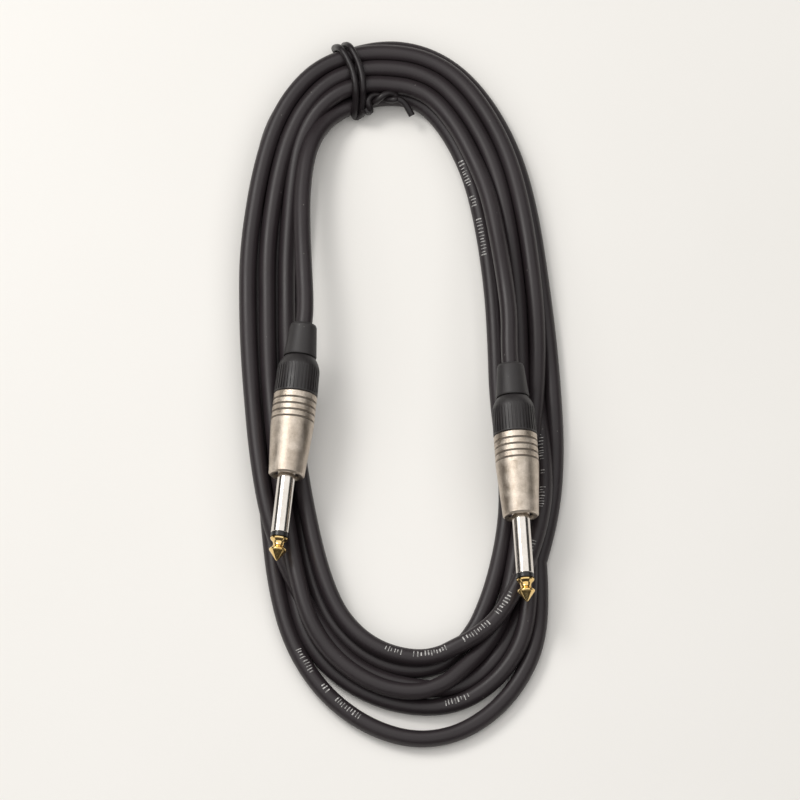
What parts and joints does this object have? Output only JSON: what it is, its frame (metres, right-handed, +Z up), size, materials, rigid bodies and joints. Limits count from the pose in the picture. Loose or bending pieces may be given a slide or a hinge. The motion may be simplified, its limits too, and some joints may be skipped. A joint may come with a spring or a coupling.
{
  "type": "instrument cable",
  "caption": "Coiled screened audio cable with a straight jack plug on each end: grooved shells, ribbed screw collars and boots, the coil held by a wire tie.",
  "frame": {"origin": "centre of the whole part's box in plan, on the surface that the coil lies on", "axes": "+Z up from the surface, +Y along the coil towards its tied end, +X across the coil towards plug B; the plugs' tips point towards -Y"},
  "size_m": [0.1126, 0.2637, 0.0268],
  "materials": {
    "cable_jacket": "matte moulded jacket with a faint sheen",
    "boot_rubber": "matte",
    "collar_plastic": "matte moulded, ribbed",
    "shell_nickel": "satin nickel on die casting",
    "shaft_nickel": "polished nickel",
    "tip_gold": "polished gold plate",
    "insulator_black": "smooth",
    "insulator_white": "satin",
    "lug_tinned": "tinned sheet",
    "liner_film": "satin film",
    "chuck_plastic": "moulded",
    "conductor_copper": "drawn copper",
    "solder": "bright solder",
    "tie_plastic": "glossy coating",
    "tie_wire": "drawn wire"
  },
  "bodies": {
    "cable_and_plugs": {"shell_a": "shell_nickel", "sleeve_a": "shaft_nickel", "tip_a": "tip_gold", "tip_insulator_a": "insulator_black", "core_insulator_a": "insulator_white", "rear_insulator_a": "insulator_black", "tip_lug_a": "lug_tinned", "ground_lug_a": "lug_tinned", "liner_a": "liner_film", "chuck_a": "chuck_plastic", "core_wire_a": "insulator_white", "conductor_a": "conductor_copper", "shield_pigtail_a": "conductor_copper", "tip_solder_a": "solder", "ground_solder_a": "solder", "cable_lead_a": "cable_jacket", "shell_b": "shell_nickel", "sleeve_b": "shaft_nickel", "tip_b": "tip_gold", "tip_insulator_b": "insulator_black", "core_insulator_b": "insulator_white", "rear_insulator_b": "insulator_black", "tip_lug_b": "lug_tinned", "ground_lug_b": "lug_tinned", "liner_b": "liner_film", "chuck_b": "chuck_plastic", "core_wire_b": "insulator_white", "conductor_b": "conductor_copper", "shield_pigtail_b": "conductor_copper", "tip_solder_b": "solder", "ground_solder_b": "solder", "cable_lead_b": "cable_jacket", "cable_coil": "cable_jacket", "twist_tie": "tie_plastic", "twist_tie_wire": "tie_wire"},
    "boot_a": {"boot_a": "boot_rubber"},
    "collar_a": {"collar_a": "collar_plastic"},
    "boot_b": {"boot_b": "boot_rubber"},
    "collar_b": {"collar_b": "collar_plastic"}
  },
  "joints": [
    {"name": "collar_a_travel", "type": "slide", "parent": "cable_and_plugs", "child": "boot_a", "axis": [0.1062, 0.994, 0.0262], "range_m": [0, 0.0076]},
    {"name": "collar_a_unscrew", "type": "hinge", "parent": "boot_a", "child": "collar_a", "pos_m": [-0.0368, -0.0067, 0.01905], "axis": [0.1062, 0.994, 0.0262], "range_deg": [0, 2160]},
    {"name": "collar_b_travel", "type": "slide", "parent": "cable_and_plugs", "child": "boot_b", "axis": [-0.0645, 0.9976, 0.0262], "range_m": [0, 0.0076]},
    {"name": "collar_b_unscrew", "type": "hinge", "parent": "boot_b", "child": "collar_b", "pos_m": [0.0406, -0.0218, 0.01905], "axis": [-0.0645, 0.9976, 0.0262], "range_deg": [0, 2160]}
  ],
  "couplings": [
    {"joint": "collar_a_travel", "follows": "collar_a_unscrew", "m_per_rad": 0.00019894},
    {"joint": "collar_b_travel", "follows": "collar_b_unscrew", "m_per_rad": 0.00019894}
  ]
}
